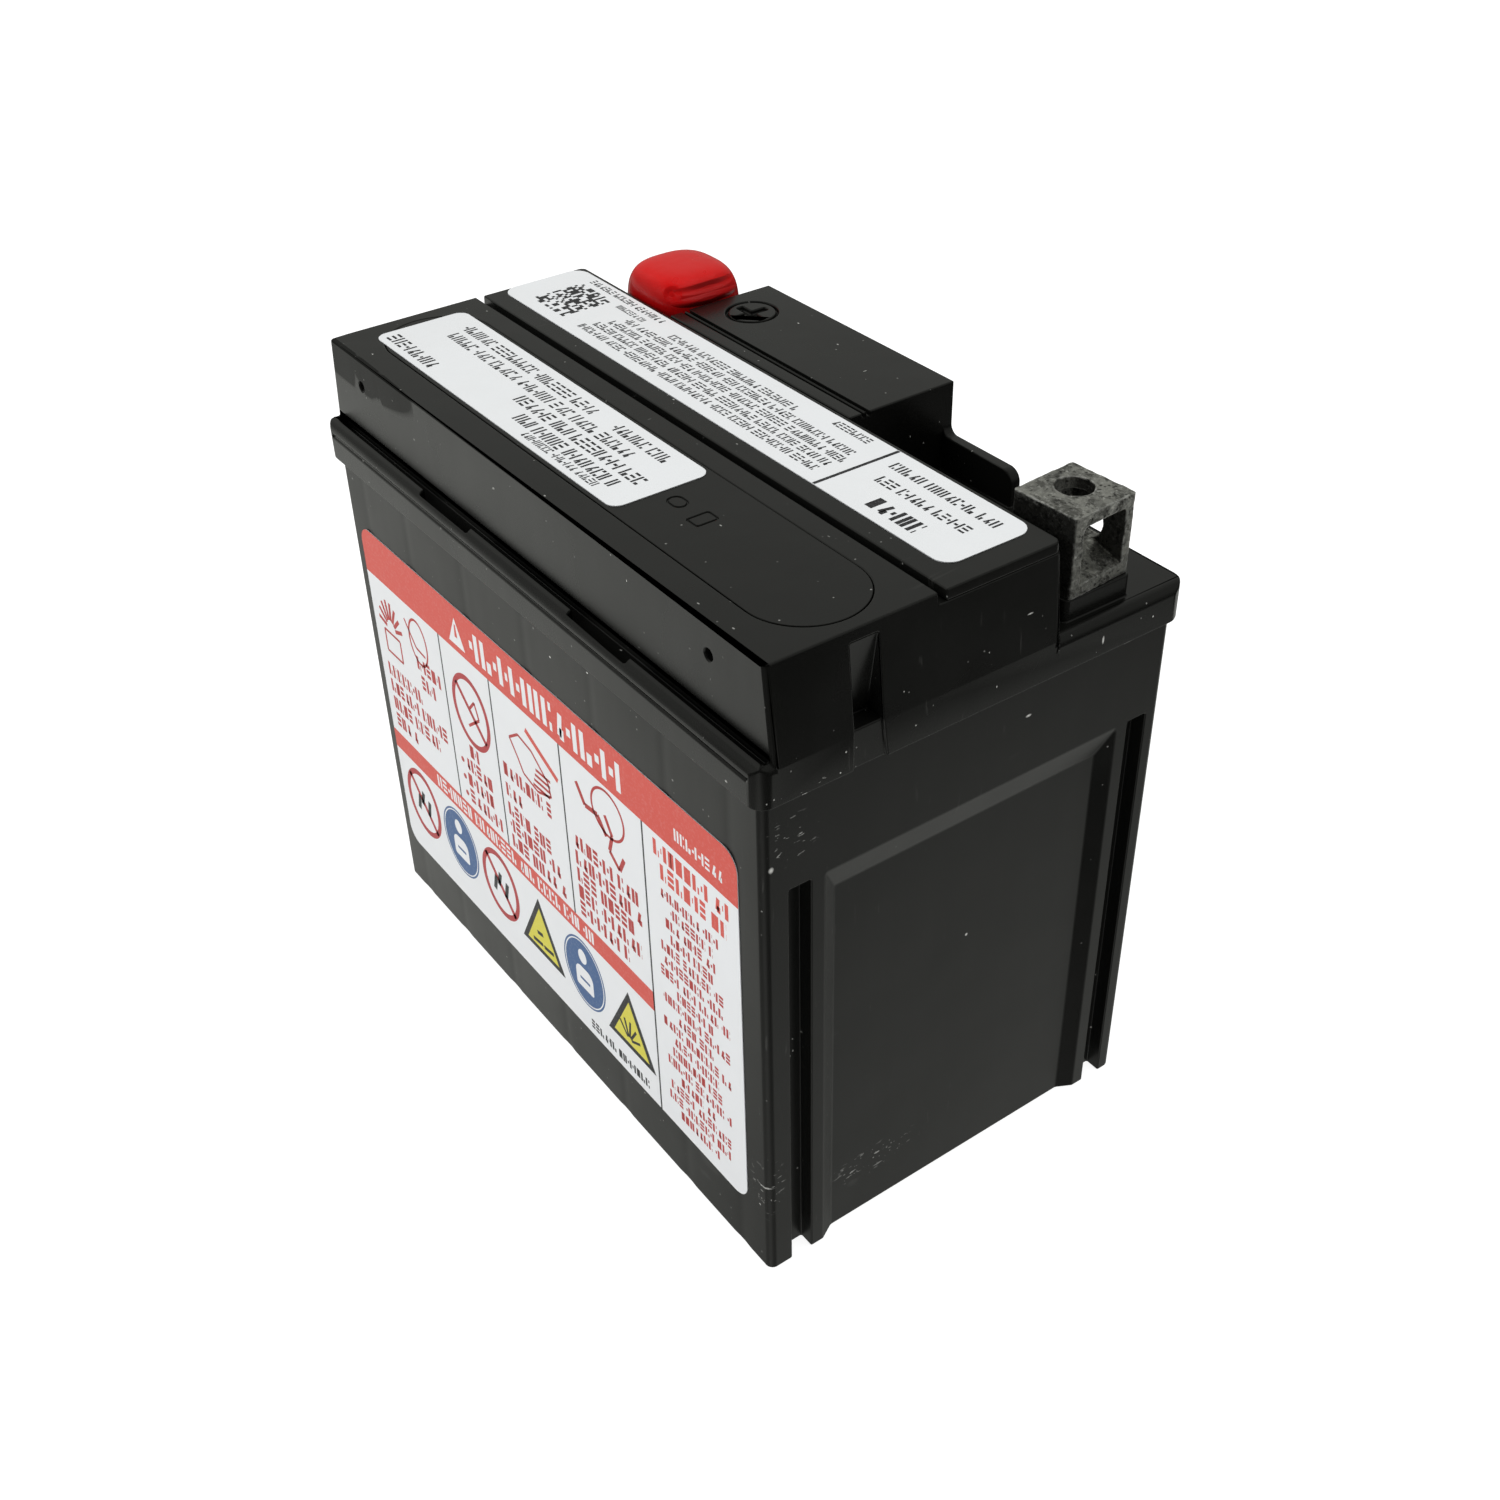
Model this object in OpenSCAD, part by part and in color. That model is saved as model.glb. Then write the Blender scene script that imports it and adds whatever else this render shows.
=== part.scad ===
// Sealed 12 V motorcycle battery: six lead-acid cells in a moulded container,
// closed by a cover with a plug strip, a vent plate and two block terminals.
// Millimetres, +Z up, origin at the centre of the underside.
// X runs along the length, -Y is the labelled front, +Y the terminal side.

/* [Container] */
// Length of the container along X
case_l = 111.8; // [110:0.2:112]
// Width of the container along Y
case_w = 67.8; // [67:0.2:68]
// Radius of the container's upright corners
case_r = 1.2; // [1:0.1:2.4]
// Height of the seam between container and cover
seam_z = 85.3; // [84.8:0.1:86]
// Thickness of the long walls
side_t = 2.2; // [1.8:0.1:2.4]
// Thickness of the end walls
end_t = 4.3; // [4:0.1:5]
// Thickness of the floor
floor_t = 2.5; // [2:0.1:3]
// Thickness of a partition between two cells
partition_t = 1.6; // [1.2:0.1:2]

/* [Container ends] */
// Height of the top of the end recess and of the end slots
recess_top_z = 70.5; // [66:0.5:74]
// Depth of the recessed panel in each end
recess_d = 1.3; // [1:0.1:1.8]
// Width of the recess opening along Y
recess_w = 50; // [46:0.2:51]
// Depth of the slots beside the recess
slot_d = 2.4; // [1.5:0.1:2.6]
// Width of the slots beside the recess
slot_w = 3.4; // [2.5:0.1:3.6]
// Width of the rib between the recess and a slot
rib_w = 2.2; // [2:0.1:3]

/* [Cover] */
// Overall length of the cover along X
cover_l = 114; // [113.6:0.1:114.4]
// Overall width of the cover along Y
cover_w = 70.2; // [70:0.1:70.8]
// Height of the low deck behind the raised part
deck_z = 91; // [90.6:0.1:91.4]
// Height of the rail along the front
rail_z = 91.7; // [91.4:0.1:92]
// Height of the raised part's top
top_z = 104.4; // [103.8:0.1:105]
// Length of the raised part at its top
top_l = 111; // [110.4:0.1:112]
// Distance of the raised front wall behind the rail's face
front_step = 2.35; // [2:0.05:2.6]
// Y position of the raised part's rear wall
rear_y = 12.4; // [12:0.1:13]

/* [Plug strip] */
// Width of the plug strip and of its rounded ends
strip_w = 16.4; // [15:0.2:17]
// Length of the plug strip
strip_l = 106.4; // [104:0.2:107]
// Radius of one filling hole
fill_r = 5.5; // [4.5:0.1:6]

/* [Vent plate] */
// Thickness of the vent plate
plate_t = 1.5; // [1.2:0.1:1.8]
// Y position of the vent plate's front edge
plate_front_y = -6.3; // [-7:0.1:-6]

/* [Terminals] */
// Side of a terminal block along X
term_l = 10.85; // [10.6:0.05:11.2]
// Side of a terminal block along Y
term_w = 10.85; // [10.6:0.05:11]
// Height of the top of the terminals
term_top_z = 105.8; // [105.4:0.1:106]
// Height of the underside of the terminals
term_base_z = 94.2; // [94:0.1:94.6]
// Radius of the bolt holes in the terminals
bolt_r = 2.6; // [2.5:0.05:2.8]
// Small turn of the negative terminal that soldering left, in degrees
neg_turn = 3.5; // [0:0.5:4]
// X position of the negative terminal
neg_x = 49; // [48.6:0.05:49.2]
// X position of the positive terminal
pos_x = -39; // [-40:0.1:-38.8]
// Y position of the negative terminal
neg_y = 20.4; // [20.2:0.05:20.8]
// Y position of the positive terminal
pos_y = 20.4; // [20.4:0.05:20.6]

/* [Cell contents] */
// Number of positive plates in a cell
positive_count = 3; // [2:1:3]
// Thickness of a positive plate
positive_t = 1.9; // [1.5:0.1:1.9]
// Thickness of a negative plate
negative_t = 1.5; // [1.2:0.1:1.5]
// Height of the plates
plate_h = 62; // [50:1:63]

/* [Hidden] */
$fn = 48;
fit_gap = 0.03;          // gap between pieces that are sealed or pressed together
slide_gap = 0.05;        // gap around pieces that slide
half_l = case_l / 2;
half_w = case_w / 2;
cover_hl = cover_l / 2;
cover_hw = cover_w / 2;
front_y = -cover_hw + front_step;
rim_z = seam_z + 3.5;    // top of the container's rim inside the cover
cavity_hl = half_l - end_t;
cavity_hw = half_w - side_t;
cell_count = 6;
cell_w = (2 * cavity_hl - (cell_count - 1) * partition_t) / cell_count;
cell_pitch = cell_w + partition_t;
strip_y = -19.4;         // centre line of the plug strip
strip_floor_z = top_z - 2.5;
roof_front_z = strip_floor_z - 2.4;
gallery_floor_z = 98;    // floor of the vent gallery under the plate
gallery_y = 3;           // centre line of the vent gallery
gallery_w = 10;
roof_gallery_z = gallery_floor_z - 1.8;
roof_deck_z = deck_z - 2.3;
rebate_z = top_z - plate_t - fit_gap;
block_x0 = -30.7;        // left end of the block beside the positive terminal
block_x1 = 13.6;
block_y1 = 31.3;
fence_x1 = 28.3;
fence_z = 96.4;
pole_r = 3.5;
neg_pole_x = neg_x - 1.5;
pos_pole_x = pos_x - 1.5;
seal_r = 4.7;            // outside of the rubber ring around a pole
seal_z0 = roof_deck_z + 0.3;
seal_top_z = deck_z - 0.6;
stub_r = 2.5;            // valve stub in the gallery
stub_top_z = gallery_floor_z + 3.2;
valve_r = 3.6;
valve_top_z = stub_top_z + 1.1;
label_t = 0.12;
front_corner_r = 2.2;    // upright corners of the cover
rear_corner_r = 2.8;
strap_z0 = 72;           // straps that join the plates of one sign
strap_z1 = 78;
strap_y = 20;
connector_r = 2.6;
connector_z = (strap_z0 + strap_z1) / 2;
pocket_z1 = 104.1;       // nut pocket of a terminal
pocket_w = 7.8;
pocket_back_t = 1.7;
bolt_offset = 0.75;      // bolt holes sit off the block's centre
cap_l = 15.8;            // outside of the red cap
cap_w = 15.2;
cap_t = 1.5;             // its wall
cap_gap = 0.2;
cap_z0 = term_base_z + 0.4;
cap_z1 = term_top_z + 2.6;
end_lean = atan((cover_l - top_l) / 2 / (top_z - deck_z + 0.3));

// Centre of cell i, counted from 1 at the -X end.
function cell_x(i) = -cavity_hl + cell_w / 2 + (i - 1) * cell_pitch;
// Centre of partition i, between cells i and i + 1.
function partition_x(i) = -cavity_hl + i * cell_pitch - partition_t / 2;
// Side of the positive strap in cell i: neighbours alternate.
function positive_side(i) = i % 2 == 1 ? 1 : -1;

module rounded_rect(l, w, r) {
    square([l - 2 * r, w], center = true);
    square([l, w - 2 * r], center = true);
    for (sx = [-1, 1], sy = [-1, 1])
        translate([sx * (l / 2 - r), sy * (w / 2 - r)])
            circle(r);
}

module stadium(l, w) {
    square([l - w, w], center = true);
    for (s = [-1, 1])
        translate([s * (l - w) / 2, 0])
            circle(w / 2);
}

// A block between two corners.
module block(low, high) {
    translate(low)
        cube(high - low);
}

// A profile drawn in X and Z, extruded from y0 to y1.
module along_y(y0, y1) {
    translate([0, y1, 0])
        rotate([90, 0, 0])
            linear_extrude(y1 - y0)
                children();
}

// A profile drawn in Y and Z, extruded from x0 to x1.
module along_x(x0, x1) {
    translate([x0, 0, 0])
        rotate([90, 0, 90])
            linear_extrude(x1 - x0)
                children();
}

// ---- container ----

// Recess of one end panel, with sloped top and sides, on the +X end, centred on Y.
module end_recess() {
    slope_h = 4.2;
    slope_w = 2.4;
    x_in = half_l - recess_d;
    x_out = half_l + 1;
    flare = 1 / recess_d;
    intersection() {
        along_y(-recess_w / 2 - 3, recess_w / 2 + 3)
            polygon([
                [x_in, -1], [x_out, -1],
                [x_out, recess_top_z + slope_h * flare],
                [half_l, recess_top_z], [x_in, recess_top_z - slope_h]
            ]);
        translate([0, 0, -1])
            linear_extrude(recess_top_z + 10)
                polygon([
                    [x_in, -recess_w / 2 + slope_w], [half_l, -recess_w / 2],
                    [x_out, -recess_w / 2 - slope_w * flare],
                    [x_out, recess_w / 2 + slope_w * flare],
                    [half_l, recess_w / 2], [x_in, recess_w / 2 - slope_w]
                ]);
    }
}

// The recess and the two slots of one end, on the +X end, a little towards the rear.
module end_relief() {
    relief_y = 0.65;
    translate([0, relief_y, 0]) {
        end_recess();
        for (s = [-1, 1])
            translate([half_l - slot_d, s * (recess_w / 2 + rib_w + slot_w / 2) - slot_w / 2, -1])
                cube([slot_d + 1, slot_w, recess_top_z + 1]);
    }
}

// Very shallow upright hollows that moulding leaves opposite the partitions.
module sink_marks() {
    sink_r = 22;
    sink_d = 0.09;
    for (i = [0 : cell_count], s = [-1, 1])
        translate([i == 0 ? -49 : i == cell_count ? 49 : partition_x(i), s * (half_w + sink_r - sink_d), 0])
            cylinder(r = sink_r, h = 2 * rim_z + 2, center = true, $fn = 96);
}

module container() {
    color("#1b1c1e")
    difference() {
        linear_extrude(rim_z)
            rounded_rect(case_l, case_w, case_r);
        for (i = [1 : cell_count])
            translate([cell_x(i) - cell_w / 2, -cavity_hw, floor_t])
                cube([cell_w, 2 * cavity_hw, rim_z]);
        // the partitions stop below the rim
        block([-cavity_hl, -cavity_hw, seam_z + 0.7], [cavity_hl, cavity_hw, rim_z + 1]);
        for (i = [1 : cell_count - 1])
            translate([partition_x(i), -positive_side(i) * strap_y, connector_z])
                rotate([0, 90, 0])
                    cylinder(r = connector_r + fit_gap, h = partition_t + 2, center = true);
        end_relief();
        mirror([1, 0, 0])
            end_relief();
        sink_marks();
    }
}

// ---- cover ----

// Section of the rail along the front: a bead on the skirt.
module rail_section() {
    bead_r = 1.9;
    translate([-cover_hw, seam_z])
        square([cover_hw, rail_z - bead_r - seam_z]);
    translate([-cover_hw + bead_r, seam_z])
        square([cover_hw - bead_r, rail_z - seam_z]);
    translate([-cover_hw + bead_r, rail_z - bead_r])
        circle(bead_r);
}

// Crease below the rail's bead.
module rail_crease() {
    crease_z = 89.3;
    crease_w = 0.5;
    translate([0, -cover_hw, crease_z])
        rotate([45, 0, 0])
            cube([2 * (cover_hl - front_corner_r), crease_w, crease_w], center = true);
}

// Plan of the cover: tighter corners at the front than at the rear.
module cover_plan() {
    translate([front_corner_r - cover_hl, -cover_hw])
        square([cover_l - 2 * front_corner_r, cover_w / 2]);
    translate([rear_corner_r - cover_hl, 0])
        square([cover_l - 2 * rear_corner_r, cover_hw]);
    translate([-cover_hl, front_corner_r - cover_hw])
        square([cover_l, cover_w - front_corner_r - rear_corner_r]);
    for (s = [-1, 1]) {
        translate([s * (cover_hl - front_corner_r), front_corner_r - cover_hw])
            circle(front_corner_r);
        translate([s * (cover_hl - rear_corner_r), cover_hw - rear_corner_r])
            circle(rear_corner_r);
    }
}

// Section w wide and up to z1, with both upper edges rounded.
module deck_section(w, z1, edge_r) {
    translate([-w / 2, seam_z])
        square([w, z1 - edge_r - seam_z]);
    translate([-w / 2 + edge_r, seam_z])
        square([w - 2 * edge_r, z1 - seam_z]);
    for (s = [-1, 1])
        translate([s * (w / 2 - edge_r), z1 - edge_r])
            circle(edge_r);
}

// Skirt and deck, with the rail along the front.
module cover_base() {
    end_edge_r = 1.5;
    rear_edge_r = 0.4;
    intersection() {
        translate([0, 0, seam_z])
            linear_extrude(rail_z - seam_z)
                cover_plan();
        union() {
            intersection() {
                along_x(-cover_hl, cover_hl)
                    rail_section();
                along_y(-cover_hw, front_y + 2)
                    deck_section(cover_l, rail_z, end_edge_r);
            }
            intersection() {
                along_x(-cover_hl, cover_hl)
                    deck_section(cover_w, deck_z, rear_edge_r);
                along_y(front_y + 1, cover_hw)
                    deck_section(cover_l, deck_z, end_edge_r);
            }
        }
    }
}

// Block from y0 to y1 whose +X end leans inwards and has rounded upright edges.
module leaning_end(y0, y1) {
    front_r = 0.8;
    rear_r = 1.1;
    reach = cover_l + 10;
    translate([cover_hl, 0, deck_z - 0.3])
        rotate([0, -end_lean, 0])
            translate([0, 0, -8])
                linear_extrude(40) {
                    translate([-reach, y0])
                        square([reach - front_r, y1 - y0 - rear_r]);
                    translate([-reach, y0 + front_r])
                        square([reach - rear_r, y1 - y0 - front_r]);
                    translate([-reach, y0 + front_r])
                        square([reach, y1 - y0 - front_r - rear_r]);
                    translate([-front_r, y0 + front_r])
                        circle(front_r);
                    translate([-rear_r, y1 - rear_r])
                        circle(rear_r);
                }
}

// Raised part over the plugs and the vents, its ends leaning inwards.
module raised_part() {
    intersection() {
        block([-cover_hl, front_y, rim_z], [cover_hl, rear_y, top_z]);
        leaning_end(front_y, rear_y);
        mirror([1, 0, 0])
            leaning_end(front_y, rear_y);
    }
}

// Block beside the positive terminal and the low fence that runs on from it.
module block_and_fence() {
    fence_t = 1.8;
    end_r = 2;
    sweep_r = 1.4;
    sweep_x = block_x1 + sweep_r;
    sweep_z = fence_z + sweep_r;
    block([block_x0, rear_y - 0.5, deck_z - 1], [block_x1, block_y1, top_z]);
    along_y(block_y1 - fence_t, block_y1) {
        translate([block_x1 - 1, deck_z - 1])
            square([fence_x1 - end_r - block_x1 + 1, fence_z - deck_z + 1]);
        translate([block_x1 - 1, deck_z - 1])
            square([fence_x1 - block_x1 + 1, fence_z - end_r - deck_z + 1]);
        translate([fence_x1 - end_r, fence_z - end_r])
            circle(end_r);
        difference() {
            translate([block_x1 - 1, fence_z - 1])
                square([sweep_r + 1, sweep_r + 1]);
            translate([sweep_x, sweep_z])
                circle(sweep_r);
        }
    }
}

module pedestal(x, y) {
    translate([x, y, deck_z - 1])
        linear_extrude(term_base_z - deck_z + 1)
            rounded_rect(term_l + 0.6, term_w + 0.6, 0.8);
}

// Space inside the cover above each cell.
module cover_hollows() {
    block_wall = 2.2;
    for (i = [1 : cell_count]) {
        x0 = cell_x(i) - cell_w / 2;
        x1 = cell_x(i) + cell_w / 2;
        block([x0, front_y + 2.1, seam_z - 1], [x1, gallery_y - 8, roof_front_z]);
        block([x0, gallery_y - 9, seam_z - 1], [x1, rear_y - 2.2, roof_gallery_z]);
        block([x0, -cavity_hw, seam_z - 1], [x1, cavity_hw, roof_deck_z]);
        bx0 = max(x0, block_x0 + block_wall);
        bx1 = min(x1, block_x1 - block_wall);
        if (bx1 - bx0 > 3)
            translate([bx0, rear_y + block_wall, roof_deck_z - 1])
                cube([bx1 - bx0, block_y1 - rear_y - 2 * block_wall, top_z - block_wall - roof_deck_z + 1]);
        translate([cell_x(i), strip_y, roof_front_z - 1])
            cylinder(r = fill_r, h = 5);
        translate([cell_x(i), gallery_y, roof_gallery_z - 1])
            cylinder(r = 1.2, h = 8);
    }
}

// Channel around the cover's underside that takes the container's rim.
module rim_channel() {
    channel_t = 0.1;
    translate([0, 0, seam_z - 1])
        linear_extrude(rim_z + fit_gap - seam_z + 1)
            difference() {
                rounded_rect(case_l + 2 * fit_gap, case_w + 2 * fit_gap, case_r + fit_gap);
                square([2 * (cavity_hl - channel_t), 2 * (cavity_hw - channel_t)], center = true);
            }
    translate([0, 0, seam_z - 1])
        linear_extrude(1.7 + fit_gap)
            square([2 * cavity_hl, 2 * cavity_hw], center = true);
}

// Pocket in a raised end face, deeper towards its foot, and the shallow groove
// that widens from there to the seam.
module end_pocket() {
    pocket_y0 = -20.9;
    pocket_y1 = -16.6;
    pocket_z1 = 102.7;
    pocket_d0 = 3.2;
    pocket_d1 = 0.3;
    groove_d = 0.4;
    face_x = cover_hl - (pocket_z1 - deck_z) * tan(end_lean);
    along_y(pocket_y0, pocket_y1)
        polygon([
            [cover_hl - pocket_d0, deck_z], [cover_hl + 1, deck_z],
            [cover_hl + 1, pocket_z1], [face_x - pocket_d1, pocket_z1]
        ]);
    along_x(cover_hl - groove_d, cover_hl + 1)
        polygon([
            [pocket_y0, deck_z + 0.1], [pocket_y0, seam_z - 1],
            [pocket_y1 + 0.9, seam_z - 1], [pocket_y1, deck_z + 0.1]
        ]);
}

// Plus sign in a ring on the block's top.
module polarity_mark() {
    mark_d = 0.7;
    ring_r = 4.1;
    ring_t = 0.42;
    ring_shift = [-0.2, 0.4];
    arm_l = 6;
    arm_t = 1.2;
    translate([-23.7, 22.6, top_z - mark_d])
        linear_extrude(1) {
            translate(ring_shift)
                difference() {
                    circle(ring_r);
                    circle(ring_r - ring_t);
                }
            square([arm_l, arm_t], center = true);
            square([arm_t, arm_l], center = true);
        }
}

module cover() {
    gallery_hl = 54;
    groove_d = 0.85;
    groove_z0 = 89.9;
    groove_z1 = 92.3;
    groove_hl = 56;
    notch_hl = 7;
    line_d = 0.8;
    color("#17181a")
    difference() {
        union() {
            cover_base();
            raised_part();
            block_and_fence();
            pedestal(neg_x, neg_y);
            pedestal(pos_x, pos_y);
        }
        rim_channel();
        cover_hollows();
        // rail groove, undercutting the raised wall
        block([-groove_hl, front_y - groove_d, groove_z0], [groove_hl, front_y + groove_d, groove_z1]);
        rail_crease();
        // two finger notches in the rail
        for (x = [-19.5, 21.3])
            block([x - notch_hl, front_y - 1.8, groove_z0], [x + notch_hl, front_y, groove_z1]);
        end_pocket();
        mirror([1, 0, 0])
            end_pocket();
        // blind holes in the raised front wall
        for (x = [-45.9, 44.4])
            translate([x, front_y + 1.4, 100.1])
                rotate([90, 0, 0])
                    cylinder(r = 0.8, h = 3);
        // pocket for the plug strip
        translate([0, strip_y, strip_floor_z])
            linear_extrude(5)
                stadium(strip_l + 2 * slide_gap + 0.1, strip_w + 2 * slide_gap + 0.1);
        // rebate and gallery under the vent plate
        block([-cover_hl, plate_front_y - 1.3, rebate_z], [cover_hl, rear_y + 0.01, top_z + 1]);
        difference() {
            block(
                [-gallery_hl, gallery_y - gallery_w / 2, gallery_floor_z],
                [gallery_hl, gallery_y + gallery_w / 2, top_z]
            );
            for (i = [1 : cell_count])
                translate([cell_x(i), gallery_y, gallery_floor_z - 1])
                    cylinder(r = stub_r, h = stub_top_z - gallery_floor_z + 1);
        }
        for (i = [1 : cell_count])
            translate([cell_x(i), gallery_y, gallery_floor_z - 1])
                cylinder(r = 1.2, h = 8);
        // double line along the front of the block, the rear one wider
        for (line = [[14.8, 0.36], [15.7, 0.5]])
            block(
                [block_x0 - 1, line[0] - line[1] / 2, top_z - line_d],
                [block_x1 + 1, line[0] + line[1] / 2, top_z + 1]
            );
        polarity_mark();
        // poles and their seals
        for (p = [[neg_pole_x, neg_y, seal_z0 - fit_gap], [pos_pole_x, pos_y, seal_z0 - fit_gap]]) {
            translate(p)
                cylinder(r = pole_r + fit_gap, h = 20);
            translate(p)
                cylinder(r = seal_r + fit_gap, h = seal_top_z + 2 * fit_gap - seal_z0);
            translate([p.x, p.y, seam_z])
                cylinder(r = pole_r + fit_gap, h = seal_z0 - seam_z);
        }
    }
}

// ---- pieces carried by the cover ----

module vent_plate() {
    y0 = plate_front_y;
    y1 = rear_y - 0.2;
    color("#17181a")
    intersection() {
        block([-cover_hl, y0, top_z - plate_t], [cover_hl, y1, top_z]);
        leaning_end(y0 - 1, y1);
        mirror([1, 0, 0])
            leaning_end(y0 - 1, y1);
    }
}

module flame_arrestors() {
    color("#c9c4b6")
    for (s = [-1, 1])
        translate([s * 51, gallery_y, gallery_floor_z + fit_gap])
            cylinder(r = 2.8, h = 2.2);
}

// Small outline marks that the strip's moulding carries.
module strip_marks() {
    mark_d = 0.25;
    translate([18.6, strip_y, top_z - mark_d])
        linear_extrude(1)
            difference() {
                stadium(3.2, 2.4);
                stadium(2.6, 1.8);
            }
    translate([24.2, strip_y, top_z - mark_d])
        linear_extrude(1)
            difference() {
                rounded_rect(2.6, 3.6, 0.5);
                rounded_rect(2, 3, 0.3);
            }
}

module sealing_plug_strip() {
    plug_bottom_z = roof_front_z - 2.5;
    color("#1d1e20")
    difference() {
        union() {
            translate([0, strip_y, strip_floor_z + fit_gap])
                linear_extrude(top_z - strip_floor_z - fit_gap)
                    stadium(strip_l, strip_w);
            for (i = [1 : cell_count])
                translate([cell_x(i), strip_y, plug_bottom_z])
                    cylinder(r = fill_r - slide_gap, h = strip_floor_z + 1 - plug_bottom_z);
        }
        for (i = [1 : cell_count])
            translate([cell_x(i), strip_y, plug_bottom_z - 1])
                cylinder(r = fill_r - 1.6, h = strip_floor_z - plug_bottom_z);
        strip_marks();
    }
}

// Rubber cap over one valve stub.
module relief_valve(i) {
    color("#2c2c2c")
    translate([cell_x(i), gallery_y, 0])
        difference() {
            translate([0, 0, gallery_floor_z + 0.5])
                cylinder(r = valve_r, h = valve_top_z - gallery_floor_z - 0.5);
            translate([0, 0, gallery_floor_z - 1])
                cylinder(r = stub_r + slide_gap, h = stub_top_z + fit_gap - gallery_floor_z + 1);
        }
}

// Space for the nut: open towards +X, its floor falling away to the mouth.
module nut_pocket() {
    mouth_z = 95.6;
    seat_z = 97.6;
    pocket_r = 0.8;
    intersection() {
        along_x(-term_l / 2 + pocket_back_t, term_l / 2 + 1)
            translate([0, (mouth_z - 1 + pocket_z1) / 2])
                rounded_rect(pocket_w, pocket_z1 - mouth_z + 1, pocket_r);
        along_y(-term_w, term_w)
            polygon([
                [-term_l, seat_z], [0.5, seat_z], [term_l / 2 + 1, mouth_z],
                [term_l / 2 + 1, pocket_z1 + 1], [-term_l, pocket_z1 + 1]
            ]);
    }
}

// Hollow terminal block with a bolt hole in its top and one in its rear.
module terminal_block() {
    hole_z = 100.1;
    difference() {
        translate([0, 0, term_base_z])
            linear_extrude(term_top_z - term_base_z)
                rounded_rect(term_l, term_w, 0.4);
        nut_pocket();
        translate([-bolt_offset, bolt_offset, 100])
            cylinder(r = bolt_r, h = 10);
        translate([-bolt_offset, pocket_w / 2 - 0.01, hole_z])
            rotate([-90, 0, 0])
                cylinder(r = bolt_r, h = 10);
    }
}

module negative_terminal() {
    color("#7c7c7e")
    translate([neg_x, neg_y, 0])
        rotate([0, 0, neg_turn])
            terminal_block();
}

module positive_terminal() {
    color("#7c7c7e")
    translate([pos_x, pos_y, 0])
        mirror([1, 0, 0])
            terminal_block();
}

module pole(x, y) {
    color("#8a8a8c")
    translate([x, y, strap_z1])
        cylinder(r = pole_r, h = term_base_z - strap_z1);
}

module pole_seal(x, y) {
    color("#101010")
    translate([x, y, seal_z0])
        difference() {
            cylinder(r = seal_r, h = seal_top_z - seal_z0);
            translate([0, 0, -1])
                cylinder(r = pole_r + fit_gap, h = 10);
        }
}

// Soft cap: rounded block with rounded top edges, hollow from below.
module red_terminal_cap() {
    corner_r = 4;
    color("#cf1414")
    translate([pos_x, pos_y, 0])
        difference() {
            intersection() {
                translate([0, 0, cap_z0])
                    linear_extrude(cap_z1 - cap_z0)
                        rounded_rect(cap_l, cap_w, corner_r);
                along_y(-cap_w, cap_w)
                    cap_profile(cap_l, corner_r);
                along_x(-cap_l, cap_l)
                    cap_profile(cap_w, corner_r);
            }
            translate([0, 0, cap_z0 - 1])
                linear_extrude(term_top_z + cap_gap - cap_z0 + 1)
                    rounded_rect(cap_l - 2 * cap_t, cap_w - 2 * cap_t, corner_r - cap_t);
        }
}

// Upright section of the cap, with its two upper corners rounded.
module cap_profile(w, r) {
    translate([-w / 2, cap_z0 - 1])
        square([w, cap_z1 - r - cap_z0 + 1]);
    translate([-w / 2 + r, cap_z0 - 1])
        square([w - 2 * r, cap_z1 - cap_z0 + 1]);
    for (s = [-1, 1])
        translate([s * (w / 2 - r), cap_z1 - r])
            circle(r);
}

// ---- cell contents ----

negative_count = positive_count + 1;
gap_count = positive_count + negative_count - 1;
cell_play = 0.2;
separator_t = (cell_w - cell_play - positive_count * positive_t - negative_count * negative_t) / gap_count;
plate_z0 = floor_t + 2.5;
plate_w = 60;
lug_w = 7;
strap_w = lug_w + 2;

// X position of the low face of plate k in a cell, k = 0 being the first negative.
function plate_x(k) =
    -cell_w / 2 + cell_play / 2
    + ceil(k / 2) * negative_t + floor(k / 2) * positive_t + k * separator_t;

// Plates of one sign in one cell, joined by a strap at y = side * strap_y.
module plate_group(count, first, t, side) {
    strap_hl = cell_w / 2 - 0.3;
    for (j = [0 : count - 1]) {
        x = plate_x(first + 2 * j);
        block([x, -plate_w / 2, plate_z0], [x + t, plate_w / 2, plate_z0 + plate_h]);
        translate([x, side * strap_y - lug_w / 2, plate_z0 + plate_h - 1])
            cube([t, lug_w, strap_z0 + 1.2 - plate_z0 - plate_h]);
    }
    translate([-strap_hl, side * strap_y - strap_w / 2, strap_z0])
        cube([2 * strap_hl, strap_w, strap_z1 - strap_z0]);
}

module positive_plates(i) {
    color("#5b3f36")
    translate([cell_x(i), 0, 0])
        plate_group(positive_count, 1, positive_t, positive_side(i));
}

module negative_plates(i) {
    color("#6f7276")
    translate([cell_x(i), 0, 0])
        plate_group(negative_count, 0, negative_t, -positive_side(i));
}

// Glass-mat sheets between the plates of one cell.
module separators(i) {
    sheet_w = 62;
    sheet_gap = 0.02;
    color("#e6e6df")
    translate([cell_x(i), 0, 0])
        for (k = [0 : gap_count - 1]) {
            x1 = plate_x(k + 1) - sheet_gap;
            x0 = x1 - separator_t + 2 * sheet_gap;
            block([x0, -sheet_w / 2, floor_t], [x1, sheet_w / 2, plate_z0 + plate_h + 1.5]);
        }
}

// Lead link through partition i, from strap to strap.
module cell_link(i) {
    color("#8a8a8c")
    translate([partition_x(i), -positive_side(i) * strap_y, connector_z])
        rotate([0, 90, 0])
            cylinder(r = connector_r, h = partition_t + 0.6, center = true);
}

// ---- labels ----

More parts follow.
